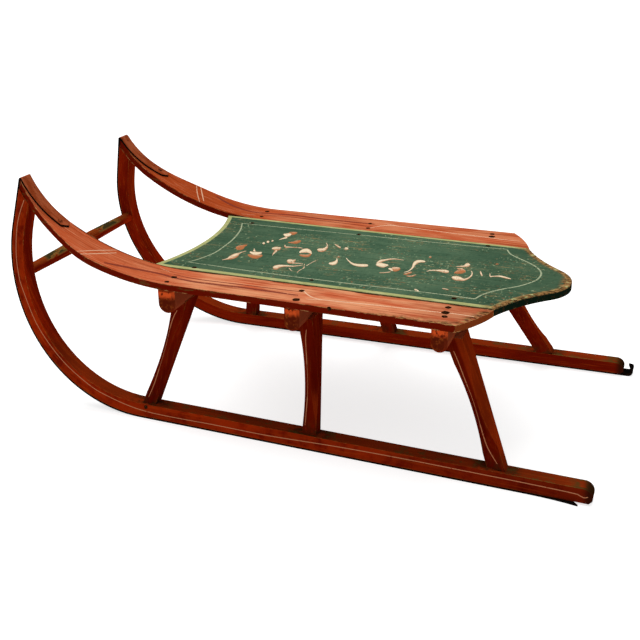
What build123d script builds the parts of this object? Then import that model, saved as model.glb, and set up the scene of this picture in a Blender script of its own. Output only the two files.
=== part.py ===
from build123d import *
from math import atan2, cos, degrees, hypot, radians, sin, sqrt
import os

os.makedirs("parts", exist_ok=True)

# A child's wooden sled of the late nineteenth century. +X is forward, +Y is the rider's left, +Z is
# up. The origin is on the ground, under the middle of the sled.

# Runners: two bars, bent up and back at the front, leaning in towards each other
runner_length = 827
runner_width = 22
runner_depth = 18
runner_bend_radius = 207
runner_bend_sweep = 102
tip_height = 315
half_track_rear = 179.5
half_track_bend = 165.5
half_track_tip = 121
heel_round = 12
heel_chamfer = 4

# Iron shoes: a strip under each runner, up its front, over the tip and down onto the rail
shoe_thickness = 2.5
strap_length = 62
strap_width = 20
strap_point = 6
left_strap_drift = 5.5
right_strap_drift = 17
left_shoe_setback = 16
left_shoe_loose_length = 62
left_shoe_swing = 5
right_shoe_overhang = 14
right_shoe_curl_radius = 7.5
right_shoe_curl_sweep = 130
right_shoe_sliver = 6

# Side rails: flat boards that make the outer parts of the seat and rise to meet the runners' tips
seat_height = 203
rail_thickness = 9
rail_inner_edge = 124
rail_width = 56
rail_rear_width = 64
rail_bend_setback = 59
rail_bend_radius = 365
rail_bend_sweep = 33
rail_taper_start = 79
rail_taper_round = 130
rail_corner_setback = 441
rail_end_bulge = 4

# Deck board: the painted middle of the seat
board_thickness = 10
board_side_gap = 1
board_corner_setback = 474
board_length = 475
board_front_hollow = 22
board_tail = 77
board_tail_round = 60
board_tail_sweep = 48
board_edge_round = 1.5

# Cross-beams: three bars with a flat top and a round belly, placed behind the start of the bend
beam_widths = {"front": 25, "middle": 21, "rear": 21}
beam_depth = 34
beam_half_length = 180
beam_end_chamfer = 3.5
beam_setbacks = {"front": 49.5, "middle": 228, "rear": 420}

# Legs: six splayed and raked planks, with long stop chamfers on their outer edges
foot_setbacks = {"front": 13.5, "middle": 254, "rear": 502}
leg_thicknesses = {"front": 18, "middle": 19, "rear": 21.5}
leg_top_setbacks = {"front": 2.5, "middle": 6, "rear": 8}
leg_top_inner_edge = 107
leg_top_widths = {"front": 39, "middle": 38, "rear": 33}
leg_foot_width = 18
leg_waist = 6
leg_cope_height = 6
leg_land = 4
stop_chamfer_length = 126
top_tenon_thickness = 9
top_tenon_width = 26
top_tenon_length = 15
foot_tenon_radius = 5
foot_tenon_length = 10

# Front crossbar: a turned bar, fullest in the middle, with a tenon in each curl
crossbar_height = 177.5
crossbar_radius = 9.2
crossbar_full_length = 70
crossbar_end_radius = 7.5
crossbar_tenon_radius = 5
crossbar_tenon_length = 13

# Places that follow from the sizes
front_x = (runner_length + right_shoe_overhang) / 2
heel_x = front_x - runner_length
bend_x = front_x - runner_bend_radius
runner_top = shoe_thickness + runner_depth
beam_top = seat_height - rail_thickness
beam_bottom = beam_top - beam_depth
rail_bend_x = bend_x - rail_bend_setback
board_corner_x = bend_x - board_corner_setback
board_half_width = rail_inner_edge - board_side_gap
overrun = runner_width
reach = half_track_rear + 2 * overrun


def place(x, z, distance, angle):
    """The point at a distance and an angle, in degrees, from (x, z)."""
    return (x + distance * cos(radians(angle)), z + distance * sin(radians(angle)))


def arc(centre, radius, start, end):
    """An arc about a centre between two angles in degrees."""
    angles = (start, (start + end) / 2, end)
    return ThreePointArc(*[place(*centre, radius, angle) for angle in angles])


def side_prism(lines):
    """A solid with the given outline seen from the side, wide enough to span the whole sled."""
    return extrude(Plane.XZ * make_face(lines), reach, both=True)


def plan_prism(lines, bottom, height):
    """A solid with the given outline seen from above."""
    return extrude(Pos(0, 0, bottom) * make_face(lines), height)


def closed(points):
    """The straight sides of a polygon."""
    return [Polyline(*points, points[0])]


def largest(shape):
    return max(shape.solids(), key=lambda solid: solid.volume)


def mirrored(shape):
    """The same shape on the right side of the sled."""
    return mirror(shape, about=Plane.XZ)


# Side view of the runner: a straight stretch, one round bend and a straight horn that leans back.
# Its underside, its top and the shoe's faces are all offsets of this line.
bend_centre = (bend_x, runner_bend_radius)
horn_angle = runner_bend_sweep - 90
horn_foot_height = place(*bend_centre, runner_bend_radius - shoe_thickness, horn_angle)[1]
horn_length = (tip_height - shoe_thickness - horn_foot_height) / cos(radians(horn_angle))


def horn_tip(inset):
    corner = place(*bend_centre, runner_bend_radius - inset, horn_angle)
    return place(*corner, horn_length, runner_bend_sweep)


def runner_line(inset, rear_x):
    """The runner seen from the side, inset from the shoe's outer face: heel, bend and horn."""
    radius = runner_bend_radius - inset
    corner = place(*bend_centre, radius, horn_angle)
    return [
        Line((rear_x, inset), (bend_x, inset)),
        arc(bend_centre, radius, -90, horn_angle),
        Line(corner, horn_tip(inset)),
    ]


# Side view of the rail's top: level along the seat, one wide bend, then a tighter one that ends at
# the runner's tip
tip = horn_tip(shoe_thickness)
rail_bend_centre = (rail_bend_x, seat_height + rail_bend_radius)
rail_bend_end = place(*rail_bend_centre, rail_bend_radius, rail_bend_sweep - 90)
chord_length = hypot(tip[0] - rail_bend_end[0], tip[1] - rail_bend_end[1])
chord_angle = degrees(atan2(tip[1] - rail_bend_end[1], tip[0] - rail_bend_end[0]))
rise_sweep = 2 * (chord_angle - rail_bend_sweep)
rise_radius = chord_length / 2 / sin(radians(rise_sweep / 2))
rise_centre = place(*rail_bend_end, rise_radius, rail_bend_sweep + 90)
rise_angle = rail_bend_sweep + rise_sweep


def rail_tip(inset):
    return place(*rise_centre, rise_radius + inset, rise_angle - 90)


def rail_line(inset, rear_x):
    """The rail seen from the side, inset downwards from its top face, rear end first."""
    return [
        Line((rear_x, seat_height - inset), (rail_bend_x, seat_height - inset)),
        arc(rail_bend_centre, rail_bend_radius + inset, -90, rail_bend_sweep - 90),
        arc(rise_centre, rise_radius + inset, rail_bend_sweep - 90, rise_angle - 90),
    ]


# The runner's two broad faces are flat. They toe in and lean in, so that the tips meet the rails.
toe_in = (half_track_bend - half_track_rear) / (bend_x - heel_x)
lean = (half_track_tip - half_track_bend - toe_in * (tip[0] - bend_x)) / tip[1]


def inner_face(x, z):
    """Distance from the middle of the sled to the runner's inner face."""
    return half_track_bend + toe_in * (x - bend_x) + lean * z


def runner_slab():
    """Everything between the left runner's inner and outer faces."""
    across = Vector(-toe_in, 1, -lean)
    face = Plane((bend_x, half_track_bend, 0), x_dir=Vector(1, toe_in, 0), z_dir=across)
    size = 2 * (runner_length + tip_height)
    align = (Align.CENTER, Align.CENTER, Align.MIN)
    return face * Box(size, size, runner_width / across.length, align=align)


def ahead_of_horn():
    """Everything ahead of the wooden horn's front face."""
    corner = place(*tip, 2 * horn_length, runner_bend_sweep - 180)
    beyond = place(*tip, horn_length, runner_bend_sweep)
    ahead = front_x + overrun
    return side_prism(closed([corner, beyond, (ahead, beyond[1]), (ahead, corner[1])]))


def above_rail():
    """Everything over the rail's underside."""
    end = rail_tip(rail_thickness)
    beyond = place(*end, horn_length, rise_angle)
    corners = [end, beyond, (heel_x, beyond[1]), (heel_x, seat_height - rail_thickness)]
    return side_prism(rail_line(rail_thickness, heel_x) + [Polyline(*corners)])


def heel_edges(shape):
    """The edges across a runner's square heel, bottom one first."""
    return shape.edges().filter_by(Axis.Y).group_by(Axis.X)[0].sort_by(Axis.Z)


def runner():
    """The left runner: a bent bar whose horn is cut to fit under the rail."""
    front = runner_line(shoe_thickness, heel_x)
    back = runner_line(runner_top, heel_x)
    ends = [Line(front[0] @ 0, back[0] @ 0), Line(front[-1] @ 1, back[-1] @ 1)]
    bar = side_prism(front + back + ends)
    bar = fillet(heel_edges(bar)[-1], heel_round)
    bar = chamfer(heel_edges(bar)[0], heel_chamfer)
    return largest((bar & runner_slab()) - above_rail())


def front_strip(rear_x):
    """The shoe's strip under a runner and up its front, and its bend round the tip."""
    outer = runner_line(0, rear_x)
    inner = runner_line(shoe_thickness, rear_x)
    ends = [Line(outer[0] @ 0, inner[0] @ 0), Line(outer[-1] @ 1, inner[-1] @ 1)]
    strip = side_prism(outer + inner + ends)
    cap_arc = arc(tip, shoe_thickness, horn_angle, rise_angle + 90)
    cap = side_prism([Line(tip, cap_arc @ 0), cap_arc, Line(cap_arc @ 1, tip)])
    return (strip + cap) & runner_slab()


def strap(drift):
    """The shoe's end on top of the rail, cut to a blunt point. It drifts outward from the tip."""
    outer = rail_line(-shoe_thickness, bend_x)[1:]
    inner = rail_line(0, bend_x)[1:]
    ends = [Line(outer[0] @ 0, inner[0] @ 0), Line(outer[-1] @ 1, inner[-1] @ 1)]
    band = side_prism(outer + inner + ends)
    inner_tip = inner_face(*tip)
    end_x = tip[0] - strap_length
    middle = inner_tip + runner_width / 2 + drift
    outline = [
        (front_x, inner_tip),
        (tip[0], inner_tip),
        (end_x, middle - strap_width / 2),
        (end_x - strap_point, middle),
        (end_x, middle + strap_width / 2),
        (tip[0], inner_tip + runner_width),
        (front_x, inner_tip + runner_width),
    ]
    return band & plan_prism(closed(outline), 0, 2 * tip_height)


def loose_end():
    """The left shoe's rear end: it has come off the runner, swung outward and worn to a point."""
    root_x = heel_x + left_shoe_setback + left_shoe_loose_length
    point_x = heel_x + left_shoe_setback
    point_y = inner_face(point_x, 0) + runner_width + left_shoe_swing
    outer = (root_x, inner_face(root_x, 0) + runner_width)
    inner = (root_x, inner_face(root_x, 0))
    edges = [
        TangentArc(outer, (point_x, point_y), tangent=(-1, -toe_in)),
        TangentArc(inner, (point_x, point_y), tangent=(-1, -toe_in)),
        Line(outer, inner),
    ]
    return plan_prism(edges, 0, shoe_thickness)


def curled_end():
    """The right shoe's rear end, drawn on the left: it runs past the heel and curls up to a point."""
    centre = (heel_x - right_shoe_overhang + right_shoe_curl_radius, right_shoe_curl_radius)
    end_angle = 270 - right_shoe_curl_sweep
    sides = []
    ends = []
    for radius in (right_shoe_curl_radius, right_shoe_curl_radius - shoe_thickness):
        curl = arc(centre, radius, -90, end_angle - 360)
        root = curl @ 1
        sliver = Line(root, place(root.X, root.Y, right_shoe_sliver, end_angle - 90))
        flat = Line((heel_x, centre[1] - radius), curl @ 0)
        sides += [flat, curl, sliver]
        ends += [flat @ 0, sliver @ 1]
    hook = side_prism(sides + [Line(ends[0], ends[2]), Line(ends[1], ends[3])]) & runner_slab()
    point_z = ends[1].Y
    shoulder_z = point_z - right_shoe_sliver
    inner = inner_face(heel_x, 0)
    outer = inner + runner_width
    middle = (inner + outer) / 2
    outline = [(inner, 0), (outer, 0), (outer, shoulder_z), (middle, point_z), (inner, shoulder_z)]
    cut = extrude(Plane.YZ * make_face(closed(outline)), runner_length, both=True)
    return hook & cut


def left_shoe():
    root_x = heel_x + left_shoe_setback + left_shoe_loose_length
    return front_strip(root_x) + strap(left_strap_drift) + loose_end()


def right_shoe():
    return mirrored(front_strip(heel_x) + strap(right_strap_drift) + curled_end())


def rail():
    """The left rail: a flat board, bent up at the front, where it narrows to the runner's width."""
    top = rail_line(0, heel_x)
    underside = rail_line(rail_thickness, heel_x)
    ends = [Line(top[0] @ 0, underside[0] @ 0), Line(top[-1] @ 1, underside[-1] @ 1)]
    bent = side_prism(top + underside + ends)
    corner = (bend_x - rail_corner_setback, rail_inner_edge + rail_rear_width)
    shoulder = (bend_x + rail_taper_start, rail_inner_edge + rail_width)
    nose = (tip[0], inner_face(*tip) + runner_width)
    rear = Line((board_corner_x, rail_inner_edge), corner)
    bulge = rear @ 0.5 + rail_end_bulge * Vector(-1, 0)
    outline = [
        FilletPolyline(corner, shoulder, nose, radius=rail_taper_round),
        Polyline(nose, (front_x, nose[1]), (front_x, rail_inner_edge), rear @ 0),
        ThreePointArc(rear @ 0, bulge, corner),
    ]
    return largest((bent & plan_prism(outline, 0, 2 * tip_height)) - ahead_of_horn())


def deck_board():
    """The deck board: hollow at the front, with a bracket-shaped tail that overhangs the rear beam."""
    tail_x = board_corner_x - board_tail
    front_corner = (board_corner_x + board_length, board_half_width)
    rear_corner = (board_corner_x, board_half_width)
    half = []
    for side in (1, -1):
        turn = radians(board_tail_sweep)
        join = (tail_x + board_tail_round * (1 - cos(turn)), side * board_tail_round * sin(turn))
        half += [
            TangentArc(join, (rear_corner[0], side * rear_corner[1]), tangent=(sin(turn), side * cos(turn))),
            Line((rear_corner[0], side * rear_corner[1]), (front_corner[0], side * front_corner[1])),
        ]
    joins = [half[0] @ 0, half[2] @ 0]
    outline = half + [
        ThreePointArc(joins[0], (tail_x, 0), joins[1]),
        ThreePointArc(half[1] @ 1, (front_corner[0] - board_front_hollow, 0), half[3] @ 1),
    ]
    board = plan_prism(outline, beam_top, board_thickness)
    return fillet(board.faces().sort_by(Axis.Z)[-1].edges(), board_edge_round)


def beam(name):
    """A cross-beam, with a flat top for the boards and a round belly."""
    x = bend_x - beam_setbacks[name]
    half = beam_widths[name] / 2
    spring = beam_bottom + half
    outline = [
        Polyline((x - half, spring), (x - half, beam_top), (x + half, beam_top), (x + half, spring)),
        arc((x, spring), half, 0, -180),
    ]
    bar = extrude(Plane.XZ * make_face(outline), beam_half_length, both=True)
    for end in (0, -1):
        bar = chamfer(bar.faces().sort_by(Axis.Y)[end].edges(), beam_end_chamfer)
    return bar


def foot(name):
    """Where the middle of a leg's foot stands on the left runner."""
    x = bend_x - foot_setbacks[name]
    return (x, inner_face(x, runner_top) + leg_foot_width / 2, runner_top)


def foot_tenon(name):
    x, y, z = foot(name)
    return Pos(x, y, z - foot_tenon_length / 2) * Cylinder(foot_tenon_radius, foot_tenon_length)


def top_tenon(name):
    """A leg's upper tenon, as far as it lies inside the beam."""
    x = bend_x - beam_setbacks[name] - leg_top_setbacks[name] / 2
    y = leg_top_inner_edge + leg_top_widths[name] / 2
    align = (Align.CENTER, Align.CENTER, Align.MIN)
    return Pos(x, y, beam_bottom) * Box(top_tenon_thickness, top_tenon_width, top_tenon_length, align=align)


def stop_chamfer(name, middle, along, outward):
    """A wide scoop across an arris: it leaves a narrow land, and runs out in a lens at both ends."""
    depth = (leg_thicknesses[name] - leg_land) / 2 / sqrt(2)
    arris_bend = 8 * leg_waist / (beam_bottom - runner_top) ** 2 / sqrt(2)
    radius = 1 / (8 * depth / stop_chamfer_length ** 2 + arris_bend)
    centre = middle + outward * (radius - depth)
    return Plane(centre, z_dir=along.cross(outward)) * Cylinder(radius, 2 * leg_top_widths[name])


def leg(name):
    """A left leg: a plank that widens upward, straight inside, hollow outside, coped to its beam."""
    foot_x, foot_y, foot_z = foot(name)
    half = leg_thicknesses[name] / 2
    height = beam_bottom + leg_cope_height - foot_z
    up = Vector(bend_x - beam_setbacks[name] - leg_top_setbacks[name] - foot_x, 0, height).normalized()
    board = Plane((foot_x, 0, foot_z), x_dir=(0, 1, 0), z_dir=Vector(0, 1, 0).cross(up))
    top = (beam_bottom - foot_z) / up.Z
    inner_foot = Vector(foot_y - leg_foot_width / 2, 0)
    outer_foot = Vector(foot_y + leg_foot_width / 2, 0)
    inner_top = Vector(leg_top_inner_edge, top)
    outer_top = Vector(leg_top_inner_edge + leg_top_widths[name], top)
    edge = (outer_top - outer_foot).normalized()
    out = Vector(edge.Y, -edge.X)
    waist = (outer_foot + outer_top) / 2 - leg_waist * out
    slope = (inner_top - inner_foot).normalized()
    spare = Vector(0, beam_depth)
    outline = [
        ThreePointArc(outer_foot, waist, outer_top),
        Polyline(outer_top, outer_top + spare, inner_top + slope * spare.Y / slope.Y, inner_foot - slope * spare.Y),
        Polyline(inner_foot - slope * spare.Y, outer_foot - spare, outer_foot),
    ]
    plank = extrude(board * make_face(outline), half, both=True)
    for side in (1, -1):
        middle = board.from_local_coords(Vector(waist.X, waist.Y, side * half))
        along = (board.from_local_coords(edge) - board.origin).normalized()
        outward = (board.from_local_coords(out + Vector(0, 0, side)) - board.origin).normalized()
        plank -= stop_chamfer(name, middle, along, outward)
    between = Pos(0, 0, foot_z + height / 2) * Box(2 * runner_length, 2 * reach, height)
    body = largest((plank & between) - beam(name))
    return body + (top_tenon(name) & beam(name)) + foot_tenon(name)


crossbar_bend_radius = runner_bend_radius - shoe_thickness - runner_depth / 2
crossbar_x = bend_x + sqrt(crossbar_bend_radius ** 2 - (runner_bend_radius - crossbar_height) ** 2)
crossbar_place = Pos(crossbar_x, 0, crossbar_height)
crossbar_shoulder = inner_face(crossbar_x, crossbar_height)


def crossbar_tenons():
    length = 2 * (crossbar_shoulder + crossbar_tenon_length)
    return crossbar_place * Rot(90, 0, 0) * Cylinder(crossbar_tenon_radius, length)


def crossbar():
    """The front crossbar: it tapers from its full middle to shoulders cut to the leaning runners."""
    end = crossbar_shoulder + runner_width / 2
    full = crossbar_full_length / 2
    upper_half = [(0, end), (crossbar_end_radius, end), (crossbar_radius, full)]
    lower_half = [(radius, -y) for radius, y in reversed(upper_half)]
    body = crossbar_place * revolve(make_face(closed(upper_half + lower_half)), axis=Axis.Y)
    return (body - runner_slab() - mirrored(runner_slab())) + crossbar_tenons()


left_runner = runner() - crossbar_tenons()
for name in foot_setbacks:
    left_runner -= foot_tenon(name)
    left_leg = leg(name)
    tenon = top_tenon(name)
    export_step(left_leg, f"parts/leg_{name}_left.step")
    export_step(mirrored(left_leg), f"parts/leg_{name}_right.step")
    export_step(beam(name) - tenon - mirrored(tenon), f"parts/beam_{name}.step")
left_rail = rail()
export_step(left_runner, "parts/runner_left.step")
export_step(mirrored(left_runner), "parts/runner_right.step")
export_step(left_shoe(), "parts/shoe_left.step")
export_step(right_shoe(), "parts/shoe_right.step")
export_step(left_rail, "parts/rail_left.step")
export_step(mirrored(left_rail), "parts/rail_right.step")
export_step(deck_board(), "parts/deck_board.step")
export_step(crossbar(), "parts/crossbar_front.step")
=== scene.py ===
# %% [markdown]
# # A child's painted snow sled
# An old wooden sled: two bent runners shod with iron, six legs under three cross-beams, and a seat
# made of a green board between two coral-red rails that sweep up to the runners' tips. The shapes
# come from the CAD frame. This lesson adds what a painter, a smith and a hundred winters added.

# %% Load the frame
import math
import random

import bpy
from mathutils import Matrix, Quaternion, Vector
from mathutils.bvhtree import BVHTree


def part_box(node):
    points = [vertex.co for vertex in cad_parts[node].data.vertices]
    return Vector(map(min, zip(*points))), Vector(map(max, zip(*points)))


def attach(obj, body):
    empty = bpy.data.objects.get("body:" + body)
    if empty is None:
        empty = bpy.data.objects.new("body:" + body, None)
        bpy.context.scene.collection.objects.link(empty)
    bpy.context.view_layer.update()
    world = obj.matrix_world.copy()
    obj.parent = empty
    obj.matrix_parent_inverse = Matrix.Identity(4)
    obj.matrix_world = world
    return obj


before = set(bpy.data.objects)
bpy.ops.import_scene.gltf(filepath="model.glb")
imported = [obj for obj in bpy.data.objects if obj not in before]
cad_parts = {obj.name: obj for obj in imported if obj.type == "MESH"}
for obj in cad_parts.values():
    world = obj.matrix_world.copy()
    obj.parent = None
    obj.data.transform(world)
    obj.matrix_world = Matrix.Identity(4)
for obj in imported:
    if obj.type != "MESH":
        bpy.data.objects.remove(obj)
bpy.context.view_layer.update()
print("CAD nodes:", len(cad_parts))

# %% [markdown]
# ## The camera
# The camera stands behind the sled's left side and looks down on it, as the photographer did. The
# place, the direction and the lens were worked out from the picture. A camera held by hand is never
# quite level, so there is a third of a degree of roll.

# %% Camera
MM = 0.001
PICTURE_WIDTH = 640
LENS = 57.7
SENSOR = 36
NEAREST = 0.01
CAMERA_PLACE = (-0.4715, 1.2864, 0.6797)
CAMERA_LOOKS = (0.32538, -0.8625, -0.38758)
ROLL = -0.29


def new_object(name, data):
    made = bpy.data.objects.new(name, data)
    bpy.context.scene.collection.objects.link(made)
    return made


camera_data = bpy.data.cameras.new("camera")
camera_data.lens = LENS
camera_data.sensor_width = SENSOR
camera_data.clip_start = NEAREST
camera = new_object("camera", camera_data)
camera.location = CAMERA_PLACE
roll = Quaternion((0, 0, 1), math.radians(ROLL))
camera.rotation_mode = "QUATERNION"
camera.rotation_quaternion = Vector(CAMERA_LOOKS).to_track_quat("-Z", "Y") @ roll
bpy.context.scene.camera = camera
print("camera at", [round(value, 3) for value in camera.location])

# %% [markdown]
# ## Floor and light
# A white floor, a dim even sky and one very wide soft light from above make a plain studio. The
# light comes from beyond the sled and a little from the front, so that its near sides are the darker
# ones and the shadow falls towards the camera. A sun lamp lights the whole floor evenly, and its
# large angle makes the shadow as soft as a big window would. The floor is a sheet of white acrylic
# lit a little from below, as on a photographer's light table, which keeps it white under the seat.

# %% Studio
WHITE = "#FFFFFF"
ACRYLIC = "#CFCFCE"
SKY_STRENGTH = 0.42
WINDOW_STRENGTH = 2.35
WINDOW_SPREAD = 60
WINDOW_SHINES = (-0.3, 0.45, -1)
FLOOR_HALF = 15
FLOOR_GLOW = 0.72


def linear(code):
    """An sRGB hex colour as Blender wants it, linear and with alpha."""
    channels = [int(code[i : i + 2], 16) / 255 for i in (1, 3, 5)]
    return tuple(c / 12.92 if c <= 0.04045 else ((c + 0.055) / 1.055) ** 2.4 for c in channels) + (1.0,)


world = bpy.data.worlds.new("sky")
bpy.context.scene.world = world
world.use_nodes = True
world.node_tree.nodes["Background"].inputs["Color"].default_value = linear(WHITE)
world.node_tree.nodes["Background"].inputs["Strength"].default_value = SKY_STRENGTH
bpy.context.scene.view_settings.view_transform = "Standard"

window_data = bpy.data.lights.new("wide_window", "SUN")
window_data.energy = WINDOW_STRENGTH
window_data.angle = math.radians(WINDOW_SPREAD)
window = new_object("wide_window", window_data)
window.rotation_mode = "QUATERNION"
window.rotation_quaternion = Vector(WINDOW_SHINES).to_track_quat("-Z", "Y")

floor_mesh = bpy.data.meshes.new("floor")
corners = [(x * FLOOR_HALF, y * FLOOR_HALF, 0) for x, y in ((-1, -1), (1, -1), (1, 1), (-1, 1))]
floor_mesh.from_pydata(corners, [], [(0, 1, 2, 3)])
floor = new_object("floor", floor_mesh)
floor_material = bpy.data.materials.new("lit_white_acrylic")
floor_material.use_nodes = True
acrylic = floor_material.node_tree.nodes["Principled BSDF"]
acrylic.inputs["Base Color"].default_value = linear(ACRYLIC)
acrylic.inputs["Roughness"].default_value = 1.0
acrylic.inputs["Specular IOR Level"].default_value = 0.0
acrylic.inputs["Emission Color"].default_value = linear(WHITE)
acrylic.inputs["Emission Strength"].default_value = FLOOR_GLOW
floor_mesh.materials.append(floor_material)
print("studio: sky", SKY_STRENGTH, "window", WINDOW_STRENGTH)

# %% [markdown]
# ## How a finish is put together
# Every finish here is a stack, as on the real sled: bare wood at the bottom, then coats of oil
# paint, then wear that takes the coats off again along edges and in scratches. A stack needs many
# nodes, so one small function adds a node with its settings and its links. Pattern sizes are real
# ones in millimetres. A picture of this sled shows about 1.4 mm in each pixel, so wood grain, which
# is really a few tenths of a millimetre wide, is drawn about three times as coarse.

# %% Adding nodes
def add(tree, kind, *given, out=0, **settings):
    """Adds a node with its settings and links, and gives the output asked for.

    A kind that has an operation names it too, as in "Math ADD". Inputs are given in the node's own
    order, or by name or number in a dictionary.
    """
    kind, *operation = kind.split()
    new = tree.nodes.new("ShaderNode" + kind)
    if operation:
        new.operation = operation[0]
    for key, value in settings.items():
        setattr(new, key, value)
    by_name = given[0] if given and isinstance(given[0], dict) else dict(enumerate(given))
    for key, value in by_name.items():
        if isinstance(value, bpy.types.NodeSocket):
            tree.links.new(value, new.inputs[key])
        else:
            new.inputs[key].default_value = value
    return new.outputs[out]


# %% [markdown]
# ## Stencils and coats
# A painter thinks of where a colour goes and how strongly. So a stencil is a share made by
# multiplying its parts, such as an edge, a patchy pattern and a strength. A part (value, from, to)
# is a soft step: nothing at the first number, all at the second. Places are in metres, patterns run
# from 0 to 1, and a face's direction from -1 to 1. A coat is one colour laid over another through a
# stencil, and the stacks below list their coats from the lowest up.

# %% Stencils, coats and patterns
def stencil(tree, *parts):
    """A share from 0 to 1: its parts multiplied. A part (value, from, to) is a soft step."""
    share = None
    for part in parts:
        if isinstance(part, tuple):
            part = add(tree, "MapRange", *part, interpolation_type="SMOOTHSTEP")
        share = part if share is None else add(tree, "Math MULTIPLY", share, part)
    return share


def coats(tree, colour, *layers):
    """Lays coats over a colour in turn. Each is its own colour and then the parts of its stencil."""
    for over, *parts in layers:
        share = stencil(tree, *parts)
        pair = [linear(c) if isinstance(c, str) else c for c in (colour, over)]
        colour = add(tree, "Mix", {0: share, 6: pair[0], 7: pair[1]}, out=2, data_type="RGBA")
    return colour


def lumps(tree, where, sizes, detail=3.0, roughness=0.55, distortion=0.0):
    """A cloudy pattern whose lumps have real sizes along the three directions, in millimetres."""
    scaled = add(tree, "VectorMath MULTIPLY", where, [1 / (size * MM) for size in sizes])
    look = {"Vector": scaled, "Scale": 1.0, "Detail": detail, "Roughness": roughness, "Distortion": distortion}
    return add(tree, "TexNoise", look)


def place_of(tree):
    """Where a point is on the sled, in metres: as one value and as three. Then how far its face
    looks forward, left and up: 1 fully, 0 not, -1 the other way."""
    where = add(tree, "TexCoord", out=3)
    looks = add(tree, "NewGeometry", out=1)
    return where, *[add(tree, "SeparateXYZ", vector).node.outputs for vector in (where, looks)]


# %% [markdown]
# ## Worn arrises
# Paint goes first where two faces meet. The Bevel node gives the normal that a rounded edge would
# have, and where that differs from the true normal there is an edge. A pattern breaks the stencil
# up, so the wear comes in chips and not as an outline.

# %% Arris wear
BEVEL_SAMPLES = 6
NORMALS_AGREE = (0.999, 0.8)


def arris(tree, radius_mm):
    """0 on a flat face, up to about 1 on an arris."""
    rounded = add(tree, "Bevel", radius_mm * MM, samples=BEVEL_SAMPLES)
    true = add(tree, "NewGeometry", out=1)
    agree = add(tree, "VectorMath DOT_PRODUCT", rounded, true, out=1)
    return stencil(tree, (agree, *NORMALS_AGREE))


# %% [markdown]
# ## From a stack to a material
# Old oil paint is a dull insulator, and rust is one too, so nothing here is metallic. A common value
# for dry chalky paint is a roughness of 0.5 to 0.6. Its gloss has gone, and a surface seen at a low
# angle would turn milky with any, so the shader's own gloss is set to nothing.

# %% Materials
RELIEF = 0.6
DULL = 0.5
CHALKY = 0.55
RUSTED = 0.6


def finish(name, coat, roughness, depth_mm, *node_names):
    """A material whose coat gives it a colour and a height. The CAD pieces named are dressed in it."""
    material = bpy.data.materials.new(name)
    material.use_nodes = True
    tree = material.node_tree
    shader = tree.nodes["Principled BSDF"]
    colour, height = coat(tree)
    tree.links.new(colour, shader.inputs["Base Color"])
    shader.inputs["Roughness"].default_value = roughness
    shader.inputs["Specular IOR Level"].default_value = 0.0
    relief = add(tree, "Bump", {"Height": height, "Strength": RELIEF, "Distance": depth_mm * MM})
    tree.links.new(relief, shader.inputs["Normal"])
    for node_name in node_names:
        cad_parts[node_name].material_slots[0].material = material
    print("finish:", name, "with", len(tree.nodes), "nodes")
    return material


# %% [markdown]
# ## Dark red oil paint
# The runners, legs and beams are ash, bent or split along the grain and painted with iron-oxide
# red in linseed oil. It has sunk into the grain and gone dull, and its tone wanders between
# brown-red and orange where it has thinned. Each timber has its own grain direction, so the coat is
# made by a function that is told where a point is along the timber.

# %% Red coat
RED_DEEP = "#5E0D02"
RED = "#841C03"
RED_THIN = "#9E3C0C"
OLD_WOOD = "#9A6C34"
GRIME = "#2C1D0C"
RED_RELIEF = 0.25
ARRIS_RADIUS = 2.2


def red_coat(tree, along, where, edge=None):
    """Colour and height of the old red paint. along has the timber's length in its first value."""
    blotch = lumps(tree, along, (90, 26, 26), 4)
    streak = lumps(tree, along, (70, 2.4, 2.4), 5, 0.6)
    speck = lumps(tree, where, (3.2, 3.2, 3.2), 2)
    colour = coats(
        tree, RED_DEEP,
        (RED, (blotch, 0.38, 0.66)),
        (RED_THIN, (streak, 0.5, 0.78), 0.75),
        (RED_DEEP, (streak, 0.42, 0.3), 0.6),
        (GRIME, (speck, 0.68, 0.74), 0.6),
    )
    if edge is None:
        return colour, streak
    worn = stencil(tree, edge, (lumps(tree, where, (9, 9, 9), 6, 0.7), 0.46, 0.6))
    stain = lumps(tree, where, (17, 17, 17), 5, 0.65)
    colour = coats(
        tree, colour,
        # Every arris is lightened evenly: thinned paint and a painted highlight.
        (RED_THIN, edge, 0.35),
        (OLD_WOOD, worn, 0.6),
        (GRIME, edge, (stain, 0.54, 0.66), 0.75),
    )
    return colour, add(tree, "Math SUBTRACT", streak, stencil(tree, worn, 0.5))


# %% [markdown]
# ## The legs
# Six planks of ash, each with its own lean, so each gets its own finish with its own grain
# direction. Each leg is darkened all over to the deepest red of the sled, as painted shade from the
# seat above. The rear pair's backs look up at the sky, and the paint there has thinned to
# orange-brown; there and on the rear half of their outer faces a lighter copy stands in as painted
# light. The tops that show beside the beams lie in deep shade under the rail and are lightened as
# painted light, and soot and wet snow have darkened the feet.

# %% Leg paint
LEG_PAINTED_SHADE = "#420401"
LEG_THIN_AND_LIT = "#7C2C0A"
LEG_TOP_PAINTED_LIGHT = "#D87C50"
LEG_PLACES = ("front", "middle", "rear")
SIDES = {"left": 1, "right": -1}
LEG_SPLAY = 0.05
LEG_REACH = 0.1
# The rear legs' middle line: its run per metre of height, and its x at the ground.
REAR_LEG_LINE = (0.509, -0.299)


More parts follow.
